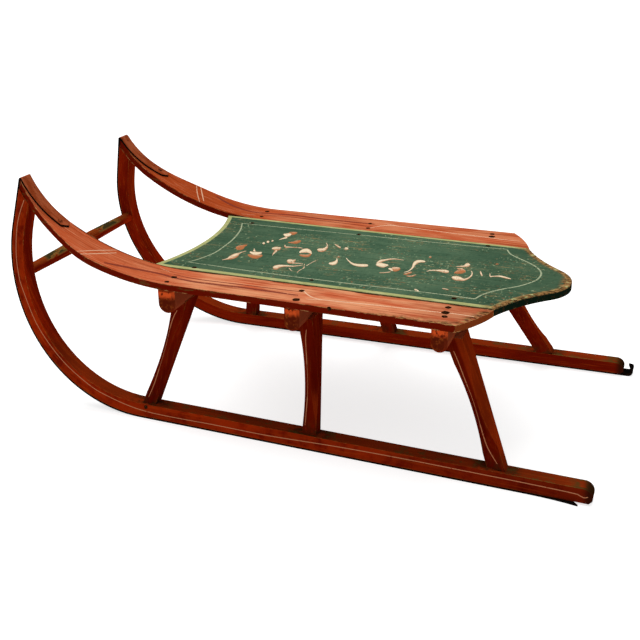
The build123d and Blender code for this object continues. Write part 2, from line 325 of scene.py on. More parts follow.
def leg_coat(tree, direction):
    """Red paint on a leg: darkened all over as painted shade, lighter behind as thinned paint and painted
    light, lightened at the top as painted light, sooty at the foot.
    """
    where, (x, y, z), (forward, left, up) = place_of(tree)
    turn = Vector(direction).normalized().rotation_difference(Vector((1, 0, 0))).to_euler()
    along = add(tree, "VectorRotate", {"Vector": where, "Rotation": turn}, rotation_type="EULER_XYZ")
    colour, height = red_coat(tree, along, where, arris(tree, ARRIS_RADIUS))
    soot = lumps(tree, where, (12, 12, 12), 4)
    middle = add(tree, "Math MULTIPLY_ADD", z, *REAR_LEG_LINE)
    behind = add(tree, "Math SUBTRACT", middle, x)
    outward = add(tree, "Math MULTIPLY", left, y)
    # Backs facing rearward and up, and the rear half of the rear legs' outer faces, get a lighter copy as
    # painted light; on the backs the paint has also thinned.
    back = stencil(tree, (forward, -0.12, -0.32), (up, 0.34, 0.44))
    lit_rear_half = stencil(tree, (behind, 0.000, 0.004), (z, 0.05, 0.085), (outward, 0.02, 0.06))
    # The whole leg is darkened as painted shade, with the lighter copy laid over it where it is lit.
    colour = coats(
        tree, coats(tree, colour, (LEG_PAINTED_SHADE, 0.6)),
        (coats(tree, colour, (LEG_THIN_AND_LIT, 0.45)), add(tree, "Math MAXIMUM", back, lit_rear_half)),
        # The leg tops beside the beams, in deep shade under the rail, are lightened as painted light.
        (LEG_TOP_PAINTED_LIGHT, (up, 0.85, 0.95), (z, 0.15, 0.16), 0.85),
        (GRIME, (z, 0.045, 0.02), (soot, 0.36, 0.62), 0.7),
    )
    return colour, height


def middle_of(node_name):
    low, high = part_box(node_name)
    return (low + high) / 2


for place in LEG_PLACES:
    for side, hand in SIDES.items():
        leg_name = f"leg_{place}_{side}"
        rise = 2 * (middle_of(f"beam_{place}") - middle_of(leg_name))
        direction = (rise.x, -hand * LEG_SPLAY, rise.z + LEG_REACH)
        name = f"red_oil_paint_{leg_name}"
        finish(name, lambda tree: leg_coat(tree, direction), DULL, RED_RELIEF, leg_name)

# %% [markdown]
# ## The beams and the crossbar
# The three beams carry the seat. Their ends stick out past the legs, where hands and boots have
# rubbed the upper part down to orange wood with dark pores: end grain drinks paint and lets go of
# it first. The crossbar keeps the two curls apart, and its upper side is rubbed to orange wood with
# dark patches where rope was tied. Both have their grain across the sled.

# %% Beams
END_WOOD = "#CC5022"
END_PORE = "#55180A"
END_LOW = "#4A1608"
END_RING = "#7A3A14"
BEAM_BACK_PAINTED_LIGHT = "#723C24"
RUBBED_DOWN_TO = (0.194, 0.187)
RUBBED_UNEVENLY = 0.016
ACROSS_THE_SLED = math.radians(90)


def beam_coat(tree):
    where, (_, _, z), (forward, left, _) = place_of(tree)
    along = add(tree, "VectorRotate", {"Vector": where, "Angle": ACROSS_THE_SLED}, rotation_type="Z_AXIS")
    colour, height = red_coat(tree, along, where, arris(tree, ARRIS_RADIUS))
    outward = add(tree, "Math ABSOLUTE", left)
    pores = lumps(tree, where, (4, 40, 7), 5, 0.7)
    rings = lumps(tree, where, (7, 40, 7), 4, 0.7)
    level = add(tree, "Math MULTIPLY_ADD", pores, RUBBED_UNEVENLY, z)
    end_grain = coats(
        tree, END_WOOD,
        (END_PORE, (pores, 0.5, 0.62)),
        (coats(tree, END_LOW, (END_RING, (rings, 0.5, 0.66))), (level, *RUBBED_DOWN_TO)),
    )
    colour = coats(
        tree, colour,
        # The beams' rear faces, in shade under the seat, are lightened as painted light.
        (BEAM_BACK_PAINTED_LIGHT, (forward, -0.5, -0.9), 0.6),
        (end_grain, (outward, 0.5, 0.8), 0.92),
    )
    return colour, height


finish("red_oil_paint_beams", beam_coat, DULL, RED_RELIEF, *[f"beam_{place}" for place in LEG_PLACES])

# %% Crossbar
BAR_WOOD = "#8E4218"
BAR_PALE = "#8A6A34"
BAR_DARK = "#2E2C18"
ROPE_FROM = (0.034, 0.044)
ROPE_TO = (0.106, 0.096)


def crossbar_coat(tree):
    where, (_, y, _), (_, _, up) = place_of(tree)
    along = add(tree, "VectorRotate", {"Vector": where, "Angle": ACROSS_THE_SLED}, rotation_type="Z_AXIS")
    colour, height = red_coat(tree, along, where, arris(tree, ARRIS_RADIUS))
    apart = add(tree, "Math ABSOLUTE", y)
    tied = stencil(tree, (apart, *ROPE_FROM), (apart, *ROPE_TO))
    ragged = lumps(tree, along, (30, 8, 8), 4, 0.65)
    colour = coats(
        tree, colour,
        (BAR_WOOD, (up, 0.15, 0.8), (ragged, 0.36, 0.5), 0.7),
        (BAR_PALE, (up, 0.2, 0.6), tied, (ragged, 0.36, 0.46), 0.9),
        (BAR_DARK, (up, 0.3, 0.7), tied, (ragged, 0.44, 0.5), 0.9),
    )
    return colour, height


finish("rubbed_red_paint_crossbar", crossbar_coat, DULL, RED_RELIEF, "crossbar_front")

# %% [markdown]
# ## The runners
# Each runner was steamed and bent, so its grain follows the curl. A place along the runner is
# worked out from the bend: how far a point is from the bend's centre says how deep it lies in the
# bar, and x plus z grows steadily from the heel to the tip. The top faces are lighter, partly as
# painted light from above and partly because sun and snow have thinned the paint there, and browner
# with use. The inner faces are darkened as painted shade. Soot and old oil have gathered round the
# legs' feet, the heel is darkened to near black, and the outer side deepens towards it.

# %% Runners
RUNNER_TOP_LIT_AND_THIN = "#8A3A14"
RUNNER_OUTSIDE = "#A0300A"
RUNNER_REAR = "#3A0402"
TOP_BROWN = "#4E3E1C"
ARRIS_TAN = "#6E6430"
HEEL_OLIVE = "#4A3A18"
HEEL_BLACK = "#1E0E06"
RUNNER_ARRIS = 2.4
TAN_ARRIS = 4
BEND_X = 0.2135
BEND_RADIUS = 0.207
LEG_FEET = (0.2, -0.0405, -0.2885)
SOOT_REACH = (0.036, 0.02)


def runner_along(tree, x, y, z):
    """Along, across and into a bar that is bent round one centre."""
    ahead = add(tree, "Math MAXIMUM", add(tree, "Math SUBTRACT", x, BEND_X), 0.0)
    below = add(tree, "Math SUBTRACT", BEND_RADIUS, z)
    reach = add(tree, "VectorMath LENGTH", add(tree, "CombineXYZ", ahead, 0.0, below), out=1)
    depth = add(tree, "Math SUBTRACT", BEND_RADIUS, reach)
    return add(tree, "CombineXYZ", add(tree, "Math ADD", x, z), y, depth)


def runner_coat(tree, edges=True):
    """Colour and height. Under a painted line there is no wear, so edges is False there."""
    where, (x, y, z), (_, left, up) = place_of(tree)
    edge = arris(tree, RUNNER_ARRIS) if edges else None
    patchy = lumps(tree, where, (16, 12, 16), 5, 0.65)
    outward = add(tree, "Math MULTIPLY", left, y)
    colour, height = red_coat(tree, runner_along(tree, x, y, z), where, edge)
    colour = coats(
        tree, colour,
        # Top faces lighter: painted light from above and paint thinned by sun and snow.
        (RUNNER_TOP_LIT_AND_THIN, (up, 0.5, 0.9), 0.4),
        # Inner faces, turned in under the sled, darkened as painted shade.
        (RED_DEEP, (outward, -0.03, -0.12), 0.45),
        (RUNNER_OUTSIDE, (outward, 0.03, 0.1), (patchy, 0.34, 0.56), 0.4),
    )
    if not edges:
        return colour, height
    for foot in LEG_FEET:
        apart = add(tree, "Math ABSOLUTE", add(tree, "Math SUBTRACT", x, foot))
        colour = coats(tree, colour, (GRIME, (apart, *SOOT_REACH), (up, 0.2, 0.6), (patchy, 0.4, 0.56), 0.75))
    colour = coats(
        tree, colour,
        (TOP_BROWN, (up, 0.4, 0.9), (patchy, 0.52, 0.64), (x, 0.23, 0.15), 0.6),
        (ARRIS_TAN, arris(tree, TAN_ARRIS), (x, -0.22, -0.34), (up, 0.1, 0.4), (patchy, 0.42, 0.52), 0.85),
        (RUNNER_REAR, (x, -0.05, -0.32), (outward, 0.02, 0.09), 0.5),
        (HEEL_OLIVE, (x, -0.375, -0.388), (up, 0.1, 0.4), (patchy, 0.4, 0.52), 0.75),
        (HEEL_BLACK, (x, -0.391, -0.402), 0.85),
    )
    return colour, height


finish("red_oil_paint_runner", runner_coat, DULL, RED_RELIEF, "runner_left", "runner_right")

# %% [markdown]
# ## The side rails
# The rails are flat ash boards. Their tops were painted coral red, over a ground of the dark red
# that still shows on their edges and undersides. The coat is thin and chalky, so the grain prints
# through as fine streaks along the board. Towards the curl, where nobody sat, it is still orange,
# and the whole right rail has kept more of its colour. The outer arris is rubbed to tan and brown,
# most of all at the rear corner of the left rail.

# %% Coral coat
CORAL = "#C6603C"
CORAL_PINK = "#E0966C"
CORAL_PALE = "#F0A880"
CORAL_ORANGE = "#BC522A"
CORAL_DARK = "#86300F"
RIGHT_CURL = "#92380E"
RIGHT_RAIL = "#B04418"
LEFT_REAR = "#8E4A30"
RAIL_JOINT_SHADE_AND_DIRT = "#240D04"
RAIL_EDGE = "#5E1203"
EDGE_OLIVE = "#54421E"
EDGE_BACK_PAINTED_LIGHT = "#7E401C"
ARRIS_WOOD = "#C0935C"
CORNER_BROWN = "#6E4A26"
CORNER_TAN = "#B09258"
CORNER_DARK = "#2E2010"
ON_THE_LEFT = (0.1, 0.13)
ON_THE_RIGHT = (-0.1, -0.13)
JOINT = (0.1266, 0.1252)
REAR_EDGE = (0.306, 0.322)
OUTER_EDGE = (0.173, 0.187)
CORNER_SLANT = 0.5
CORAL_RELIEF = 0.2


def rail_coat(tree, edges=True):
    """Colour and height, without wear where edges is False."""
    where, (x, y, _), (forward, _, up) = place_of(tree)
    streak = lumps(tree, where, (150, 2.8, 150), 5, 0.65)
    fine = lumps(tree, where, (50, 1.5, 50), 3, 0.6)
    blotch = lumps(tree, where, (70, 22, 70), 3)
    joint = lumps(tree, where, (60, 200, 200), 4)
    apart = add(tree, "Math ABSOLUTE", y)
    top = coats(
        tree, CORAL,
        (CORAL_PINK, (blotch, 0.35, 0.65)),
        (CORAL_PINK, (streak, 0.47, 0.34), 0.75),
        (LEFT_REAR, (x, -0.14, -0.235), (y, *ON_THE_LEFT), 0.45),
        (CORAL_ORANGE, (x, 0.1, 0.26), 0.8),
        (RIGHT_CURL, (x, 0.12, 0.22), (y, *ON_THE_RIGHT), 0.6),
        (RIGHT_RAIL, (y, *ON_THE_RIGHT), 0.4),
        (CORAL_DARK, (streak, 0.52, 0.68), 0.85),
        (CORAL_DARK, (fine, 0.54, 0.68), 0.55),
        (CORAL_PALE, (fine, 0.42, 0.3), 0.5),
        # A dark line along the joint with the board: dirt and painted shade.
        (RAIL_JOINT_SHADE_AND_DIRT, (apart, *JOINT), (joint, 0.42, 0.56), 0.9),
    )
    sides = coats(
        tree, RAIL_EDGE,
        (RED_DEEP, (lumps(tree, where, (40, 6, 6), 4), 0.4, 0.65)),
        (EDGE_OLIVE, (lumps(tree, where, (26, 8, 7), 5, 0.7), 0.57, 0.66), (x, 0.02, 0.1), 0.6),
        # The rail's rear-facing faces are lightened to brown as painted light.
        (EDGE_BACK_PAINTED_LIGHT, (forward, -0.25, -0.5), 0.6),
    )
    colour = coats(
        tree, sides,
        (top, (up, 0.3, 0.42)),
        (RAIL_EDGE, (lumps(tree, where, (6, 3, 6), 2), 0.68, 0.76), 0.5),
    )
    height = add(tree, "Math ADD", streak, fine)
    if not edges:
        return colour, height
    chip = lumps(tree, where, (12, 7, 9), 6, 0.7)
    stain = lumps(tree, where, (17, 10, 12), 5, 0.65)
    edge = arris(tree, RUNNER_ARRIS)
    worn = stencil(tree, edge, (chip, 0.48, 0.57))
    slanted = add(tree, "Math MULTIPLY_ADD", apart, CORNER_SLANT, 0.0)
    behind = add(tree, "Math SUBTRACT", slanted, x)
    rear = stencil(tree, (behind, *REAR_EDGE))
    outer = stencil(tree, (apart, *OUTER_EDGE), (x, -0.06, -0.19))
    corner = add(tree, "Math MAXIMUM", rear, outer)
    rubbed = stencil(tree, corner, (up, 0.5, 0.9), (y, -0.05, 0.05))
    colour = coats(
        tree, colour,
        (ARRIS_WOOD, worn, 0.8),
        (GRIME, edge, (stain, 0.54, 0.62), 0.9),
        (CORNER_BROWN, rubbed, (chip, 0.4, 0.52), 0.5),
        (CORNER_TAN, rubbed, (lumps(tree, where, (8, 3.5, 8), 5, 0.7), 0.52, 0.59), 0.9),
        (CORNER_DARK, rubbed, (lumps(tree, where, (9, 4, 9), 5, 0.7), 0.5, 0.57), 0.9),
    )
    return colour, add(tree, "Math SUBTRACT", height, worn)


finish("chalky_coral_paint_rail", rail_coat, CHALKY, CORAL_RELIEF, "rail_left", "rail_right")

# %% [markdown]
# ## The deck board
# A pine board in deep green, edged all round with a band of ochre. The band is painted by eye along
# the outline, so the finish needs to know how far a point is from the board's edge: from its two
# straight sides, from the hollow front and from the three arcs of the tail. The arcs are the CAD
# board's own, each as its centre and radius.

# %% Distance from the board's edge
BOARD_HALF = 0.123
FRONT_CENTRE, FRONT_RADIUS = (0.54734, 0.0), 0.35484
TAIL_CENTRE, TAIL_RADIUS = (-0.2775, 0.0), 0.06
WING_CENTRE, WING_RADIUS = (-0.4744, 0.2187), 0.2343
TAIL_TURN = math.radians(48)


def reach_from(tree, x, y, centre):
    """Distance from a point in plan."""
    return add(tree, "VectorMath DISTANCE", add(tree, "CombineXYZ", x, y), (*centre, 0), out=1)


def board_inset(tree, x, y):
    """How far a point lies inside the board's outline, in metres."""
    y = add(tree, "Math ABSOLUTE", y)
    side = add(tree, "Math SUBTRACT", BOARD_HALF, y)
    front = add(tree, "Math SUBTRACT", reach_from(tree, x, y, FRONT_CENTRE), FRONT_RADIUS)
    tail = add(tree, "Math SUBTRACT", TAIL_RADIUS, reach_from(tree, x, y, TAIL_CENTRE))
    wing = add(tree, "Math SUBTRACT", reach_from(tree, x, y, WING_CENTRE), WING_RADIUS)
    start = -TAIL_CENTRE[0] * math.sin(TAIL_TURN)
    back = add(tree, "Math MULTIPLY_ADD", x, math.sin(TAIL_TURN), start)
    sense = add(tree, "Math MULTIPLY_ADD", y, math.cos(TAIL_TURN), back)
    in_tail = add(tree, "Math LESS_THAN", sense, 0.0)
    rear = add(tree, "Mix", {0: in_tail, 2: wing, 3: tail}, data_type="FLOAT")
    nearer = add(tree, "Math MINIMUM", side, front)
    return add(tree, "Math MINIMUM", nearer, rear)


print("band round a board", 2 * BOARD_HALF, "m wide")

# %% [markdown]
# ## Green paint and its wear
# The field is mottled, a little paler in the middle where it was sat on, with fine scratches, flecks
# and chips that gather in a few patches. The band is yellow ochre, dirty in places, and its very
# edge is lined dark with dirt and with painted shade of the joint. The board's side faces are
# near-black as painted shade. The tail is where boots went over the edge, so it is rubbed down to
# bare pine there: brown, pale on its ridges and almost black in its cracks.

# %% Green coat
GREEN = "#435E48"
GREEN_LIGHT = "#536C53"
GREEN_MOTTLE = "#647C5D"
GREEN_DARK = "#2A4431"
GREEN_SHADE = "#1E3424"
SCRATCH_TAN = "#A98A5A"
FLECK_PALE = "#A3B48C"
CHIP_BROWN = "#8E5C3A"
PIT_DARK = "#2A2614"
OCHRE = "#A9AD70"
OCHRE_PALE = "#BDBA84"
OCHRE_DIRTY = "#7A6238"
EDGE_DIRT_AND_SHADE = "#34240F"
SIDE_SHADE_GREEN = "#0C1810"
SIDE_SHADE_BROWN = "#2C2012"
PINE = "#94683E"
PINE_PALE = "#BE9864"
PINE_DARK = "#38210F"
PINE_EDGE = "#7A5C32"
BAND_WIDTH = 0.0077
BAND_EDGE = (BAND_WIDTH + 0.0014, BAND_WIDTH + 0.0006)
BAND_SLANT = 0.007
BAND_WOBBLE = 0.0018
GREEN_RELIEF = 0.3
SEAT_MIDDLE = (-0.04, 0.0)
SCRATCHED = {
    (-0.01, -0.055): 0.05, (-0.17, 0.01): 0.07, (-0.08, 0.1): 0.045,
    (-0.225, 0.08): 0.045, (0.055, -0.05): 0.04,
}


def board_coat(tree, edges=True):
    """Colour and height, without band and wear where edges is False."""
    where, (x, y, _), (_, _, up) = place_of(tree)
    blotch = lumps(tree, where, (60, 40, 60), 4)
    streak = lumps(tree, where, (110, 3, 110), 4, 0.6)
    mottle = lumps(tree, where, (5, 9, 5), 4, 0.7)
    scratch = lumps(tree, where, (24, 3.0, 24), 3, 0.5, 1.2)
    fleck = lumps(tree, where, (4, 6, 5), 3, 0.6)
    chip = lumps(tree, where, (7, 5, 7), 4, 0.65)
    pit = (lumps(tree, where, (5, 7, 6), 3), 0.66, 0.71)
    scratched = stencil(tree, (lumps(tree, where, (55, 55, 55), 3), 0.46, 0.6), 0.8)
    for centre, reach in SCRATCHED.items():
        near = stencil(tree, (reach_from(tree, x, y, centre), reach, reach * 0.3))
        scratched = add(tree, "Math MAXIMUM", scratched, near)
    colour = coats(
        tree, GREEN,
        (GREEN_LIGHT, (blotch, 0.35, 0.65)),
        (GREEN_DARK, (streak, 0.5, 0.66), 0.5),
        (GREEN_MOTTLE, (mottle, 0.54, 0.7), 0.45),
        (GREEN_DARK, (mottle, 0.44, 0.3), 0.5),
        (GREEN_SHADE, (reach_from(tree, x, y, SEAT_MIDDLE), 0.09, 0.24), 0.3),
        (SCRATCH_TAN, scratched, (scratch, 0.61, 0.66), 0.65),
        (FLECK_PALE, scratched, (fleck, 0.61, 0.66), 0.75),
        (CHIP_BROWN, scratched, (chip, 0.62, 0.66), 0.75),
        (PIT_DARK, pit, 0.7),
    )
    height = add(tree, "Math SUBTRACT", streak, stencil(tree, pit, 0.6))
    if not edges:
        return colour, height
    ragged = lumps(tree, where, (7, 7, 7), 4, 0.6)
    crack = lumps(tree, where, (8, 4, 8), 5, 0.75)
    wobble = add(tree, "Math MULTIPLY_ADD", ragged, BAND_WOBBLE, board_inset(tree, x, y))
    slanted = add(tree, "Math MULTIPLY_ADD", y, -BAND_SLANT, wobble)
    facing = stencil(tree, (up, 0.25, 0.6))
    band = coats(
        tree, OCHRE,
        (OCHRE_PALE, (lumps(tree, where, (25, 4, 25), 4), 0.4, 0.65)),
        (OCHRE_DIRTY, (lumps(tree, where, (11, 5, 11), 5, 0.7), 0.56, 0.66), 0.45),
    )
    rim = stencil(tree, (x, -0.238, -0.262), (wobble, 0.0125, 0.0065), (ragged, 0.32, 0.46))
    tip = stencil(tree, (x, -0.319, -0.331), (ragged, 0.38, 0.5))
    bare = add(tree, "Math MAXIMUM", rim, tip)
    wood = coats(tree, PINE, (PINE_PALE, (crack, 0.44, 0.36)), (PINE_DARK, (crack, 0.49, 0.56)))
    colour = coats(
        tree, colour,
        (band, (slanted, *BAND_EDGE), facing, 0.93),
        # The dark line at the board's very edge: dirt and painted shade of the joint.
        (EDGE_DIRT_AND_SHADE, (wobble, 0.0026, 0.0012), facing, 0.7),
    )
    colour = coats(
        # The board's side faces are near-black green and brown as painted shade.
        tree, coats(tree, SIDE_SHADE_GREEN, (SIDE_SHADE_BROWN, (ragged, 0.5, 0.66))),
        (colour, facing),
        (wood, bare, facing, 0.95),
        (PINE_EDGE, arris(tree, 2.0), (ragged, 0.5, 0.58), 0.6),
    )
    return colour, add(tree, "Math SUBTRACT", height, bare)


finish("green_oil_paint_board", board_coat, DULL, GREEN_RELIEF, "deck_board")

# %% [markdown]
# ## The iron shoes
# The smith's strip is forged iron, black with scale and brown with old rust, which is dull and not
# metallic to the eye. Its upper end, folded over the tip onto the rail, was painted over with the
# rail, in a browner red. The paint is off its edges, so a dark line runs round it.

# %% Shoes
IRON_BLACK = "#0A0807"
IRON_RUST = "#2C180E"
STRAP_RED = "#8C3C1C"
STRAP_PALE = "#A65534"
STRAP_SPECK = "#34160C"
STRAP_EDGE = "#1E0E08"
STRAP_ARRIS = 1.8
IRON_RELIEF = 0.3
STRAP_Z = (0.215, 0.225)


def shoe_coat(tree):
    where, (_, _, z), (_, _, up) = place_of(tree)
    rust = lumps(tree, where, (12, 12, 12), 6, 0.65)
    paint = coats(
        tree, STRAP_RED,
        (STRAP_PALE, (lumps(tree, where, (26, 8, 26), 4), 0.36, 0.64)),
        (STRAP_SPECK, (lumps(tree, where, (3, 3, 3), 3), 0.6, 0.7), 0.7),
    )
    colour = coats(
        tree, IRON_BLACK,
        (IRON_RUST, (rust, 0.54, 0.72)),
        (paint, (z, *STRAP_Z), (up, 0.3, 0.45)),
        (STRAP_EDGE, arris(tree, STRAP_ARRIS), 0.9),
    )
    return colour, rust


finish("forged_strip_iron", shoe_coat, DULL, IRON_RELIEF, "shoe_left", "shoe_right")

# %% [markdown]
# ## Laying things on the wood
# Painted lines and nails lie on faces that lean, bend and hollow. So each is given in a flat view,
# from above or from the side, and dropped straight onto the piece that carries it. The drop gives
# the place and the direction of the face there. Places are in millimetres from the sled's middle, or
# they are points read off the picture, sent out from the camera until they meet the piece.

# %% Dropping a point onto a piece
FOCAL = LENS / SENSOR * PICTURE_WIDTH


def skin(node_name):
    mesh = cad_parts[node_name].data
    return BVHTree.FromPolygons([v.co for v in mesh.vertices], [p.vertices for p in mesh.polygons])


SKINS = {name: skin(name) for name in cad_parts}


def drop(node_name, start, direction):
    """Where a line from a start meets a piece, and the face's normal there; None if it misses."""
    place, normal, _, _ = SKINS[node_name].ray_cast(Vector(start), Vector(direction))
    return None if place is None else (place, normal)


def from_above(node_name, x, y):
    return drop(node_name, (x * MM, y * MM, 1), (0, 0, -1))


def from_side(node_name, x, z, hand):
    return drop(node_name, (x * MM, hand, z * MM), (0, -hand, 0))


def aim(px, py):
    """The direction in which the camera sees a point of the 640 x 640 picture."""
    across, up = px - PICTURE_WIDTH / 2, PICTURE_WIDTH / 2 - py
    return (camera.rotation_quaternion @ Vector((across, up, -FOCAL))).normalized()


def seen(node_name, px, py):
    """The place on a piece, in millimetres, that shows at a point of the picture."""
    return drop(node_name, camera.location, aim(px, py))[0] / MM


def smooth(points, step):
    """A smooth line through points of three values, sampled about every step."""
    points = [Vector(point) for point in points]
    ends = [2 * points[0] - points[1]] + points + [2 * points[-1] - points[-2]]
    line = []
    for a, b, c, d in zip(ends, ends[1:], ends[2:], ends[3:]):
        count = max(1, math.ceil((c - b).length / step))
        for i in range(count):
            t = i / count
            bend = t * t * (2 * a - 5 * b + 4 * c - d)
            line.append(0.5 * (2 * b + t * (c - a) + bend + t ** 3 * (3 * b - a - 3 * c + d)))
    return line + [points[-1]]


print("pieces that things can lie on:", len(SKINS))

# %% [markdown]
# ## A line of paint
# A brushed line stands a tenth of a millimetre proud and is a little fuller in the middle. It is
# built as a strip with three points across: its two edges just over the wood and its crown above.

# %% Brushed strips
PAINT_EDGE = 0.03 * MM
PAINT_CROWN = 0.14 * MM
LINE_STEP = 3
LINE_RELIEF = 0.05
UPRIGHT = math.radians(90)


def piece(name, points, faces, material, across=None):
    """A new piece that rides on the sled. across gives each point's place across its stroke."""
    mesh = bpy.data.meshes.new(name)
    mesh.from_pydata(points, [], faces)
    mesh.materials.append(material)
    mesh.shade_smooth()
    if across:
        layer = mesh.attributes.new("across", "FLOAT_VECTOR", "POINT")
        layer.data.foreach_set("vector", [v for triple in across for v in triple])
    made = new_object(name, mesh)
    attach(made, "root")
    print(name, len(faces), "faces")


def strip(stations, points, faces):
    """Adds one brushed line. Each station is a place, a normal and a width in metres."""
    first = len(points)
    for i, (place, normal, width) in enumerate(stations):
        before, after = stations[max(i - 1, 0)][0], stations[min(i + 1, len(stations) - 1)][0]
        side = (after - before).cross(normal).normalized() * width / 2
        edge = normal * PAINT_EDGE
        points += [place - side + edge, place + normal * PAINT_CROWN, place + side + edge]
    for i in range(len(stations) - 1):
        a = first + 3 * i
        faces += [(a, a + 1, a + 4, a + 3), (a + 1, a + 2, a + 5, a + 4)]


def laid(node_name, line, view, hand):
    """Stations for a line of (first, second, width) values in millimetres, dropped onto a piece."""
    stations = []
    for a, b, width in smooth(line, LINE_STEP):
        found = from_side(node_name, a, b, hand) if view == "side" else from_above(node_name, a, hand * b)
        if found:
            stations.append((found[0], found[1], width * MM))
    return stations


def read_off(node_name, line, second=1):
    """A line of picture points and widths, on a piece: its x, its y (1) or z (2), and its width."""
    spots = [seen(node_name, px, py) for px, py, _ in line]
    return [(spot[0], spot[second], width) for spot, (_, _, width) in zip(spots, line)]


def brushed(name, node_name, lines, view, hand, material):
    """One new piece made of brushed lines."""
    points, faces = [], []
    for line in lines:
        strip(laid(node_name, line, view, hand), points, faces)
    piece(name, points, faces, material)


def line_finish(name, ground, paint, kept, strength):
    """Thin line paint over a ground coat, which shows where the line has worn off."""

    def line_coat(tree):
        worn = lumps(tree, place_of(tree)[0], (6, 3, 6), 4, 0.65)
        return coats(tree, ground(tree, False)[0], (paint, (worn, *kept), strength)), worn

    return finish(name, line_coat, DULL, LINE_RELIEF)


def leg_ground(tree, _):
    """Colour and height under a leg's line, which lies clear of the leg's worn edges."""
    where = place_of(tree)[0]
    along = add(tree, "VectorRotate", {"Vector": where, "Angle": UPRIGHT}, rotation_type="Y_AXIS")
    return red_coat(tree, along, where)


# %% [markdown]
# ## Pinstripes on the runners and legs
# A liner's brush ran one thin cream line down each runner, from below the tip round the curl to the
# heel, where it turns up in a small hook. Each leg has one too, down the narrow land on its outer
# side, swinging to the rear at the foot. Age has turned them tan. A liner is a thin brush with long
# hair that holds enough paint for the whole curl, so each line is one smooth sweep here too.

# %% Runner lines
STRIPE_POINTS = [
    (24, 200), (19.5, 214), (16.8, 229), (16.1, 251.8), (18.2, 272), (23, 290), (38.3, 326.8), (61.2, 359),
    (85.7, 382), (107, 395.7), (146.7, 411.5), (218, 425.6), (267, 435.4), (340, 447.2), (402.4, 458.6),
    (460, 470), (520, 482), (571.8, 492.9), (579.4, 495.6), (584, 497.9), (588, 497.3),
]
STRIPE_WIDTH = 1.1
TAN = "#B97C58"

tan_line = line_finish("tan_line_on_runner", runner_coat, TAN, (0.3, 0.4), 0.85)
runner_stripe = read_off("runner_left", [(*point, STRIPE_WIDTH) for point in STRIPE_POINTS], 2)
for side, hand in SIDES.items():
    name = f"runner_{side}"
    brushed(f"pinstripe_{name}", name, [runner_stripe], "side", hand, tan_line)

# %% Leg lines
LEG_STRIPES = {
    "front": [(166, 152, 1), (171, 143, 1.4), (175, 132, 1.4), (182, 105, 1.3), (190, 70, 1.3),
        (196.5, 45, 1.4), (202, 29, 1)],
    "middle": [(-22.4, 151, 1), (-22, 137, 1.4), (-25.5, 110, 1.3), (-28.5, 88, 1.3), (-31, 66, 1.4),
        (-32, 48, 1.4), (-33, 30, 1)],
    "rear": [(-217, 149, 1), (-224, 137, 1.4), (-232, 122, 1.4), (-245, 98.5, 1.4), (-257.5, 73.5, 1.5),
        (-270.5, 48.5, 1.5), (-279, 37.5, 1.4), (-289, 28, 1)],
}
LEG_LINE_SHARE = 0.85
TAN_ON_LEG = "#B57652"
tan_on_leg = line_finish("tan_line_on_legs", leg_ground, TAN_ON_LEG, (0.3, 0.42), 0.85)
for side, hand in SIDES.items():
    for place, line in LEG_STRIPES.items():
        leg_name = f"leg_{place}_{side}"
        finer = [(x, z, width * LEG_LINE_SHARE) for x, z, width in line]
        brushed(f"pinstripe_{leg_name}", leg_name, [finer], "side", hand, tan_on_leg)

# %% [markdown]
# ## The ornament lines on the rails
# Two cream lines cross each rail at the curl. A maroon line starts at the outer edge behind them,
# sweeps in and follows the seat to the middle beam. From there to the rear the line is cream, and
# starts with a fork. The two rails were lined as a pair, so the right one has the left one's lines,
# turned over.

# %% Rail lines
CREAM_LINES = [
    [(77, 251.2, 1), (96, 250.4, 1.5), (117.5, 250, 1)],
    [(80.5, 254.2, 1.2), (98, 253.6, 1.8), (116.5, 252.8, 1.2)],
    [(303, 290.2, 1.4), (308, 294.8, 2.2), (315, 298.2, 2.4), (330, 300.6, 2.4), (380, 305.6, 2.2),
        (440, 312.4, 2.2), (452, 313.4, 2.2), (474, 316.6, 1.6)],
    [(306, 299, 1), (314, 299.6, 1.8), (324, 300, 1.4)],
    [(160, 267.4, 0.5), (165, 270, 0.7), (171, 272.4, 0.4)],
]
MAROON_LINES = [
    [(104, 262.6, 3), (118, 265.4, 5.5), (133, 268.4, 5.5), (158, 273.4, 5), (180, 279, 4.6), (200, 282.6, 5.2),
        (240, 287.2, 5.4), (270, 291.4, 5.4), (298, 295.4, 3.6)],
    [(174, 274.6, 1.4), (200, 279.6, 2.6), (240, 284.4, 2.6), (280, 289.4, 2.6), (302, 291.6, 1.8)],
]
CREAM = "#E9BE9C"
MAROON = "#7C3528"
RAIL_LINES = {
    "cream": (CREAM_LINES, line_finish("cream_line_on_rail", rail_coat, CREAM, (0.3, 0.42), 0.85)),
    "maroon": (MAROON_LINES, line_finish("maroon_line_on_rail", rail_coat, MAROON, (0.28, 0.4), 0.88)),
}
for side, hand in SIDES.items():
    for colour_name, (table, line_material) in RAIL_LINES.items():
        plans = [read_off("rail_left", line) for line in table]
        name = f"{colour_name}_lines_rail_{side}"
        brushed(name, f"rail_{side}", plans, "above", hand, line_material)

# %% [markdown]
# ## The line inside the board's border
# About a finger's breadth inside the ochre band runs one thin line of pale grey-green, straight along
# the sides and curved at the ends, with a corner where the parts meet. The painter drew it in four
# strokes, lifting the brush at each corner, so it is four lines here.

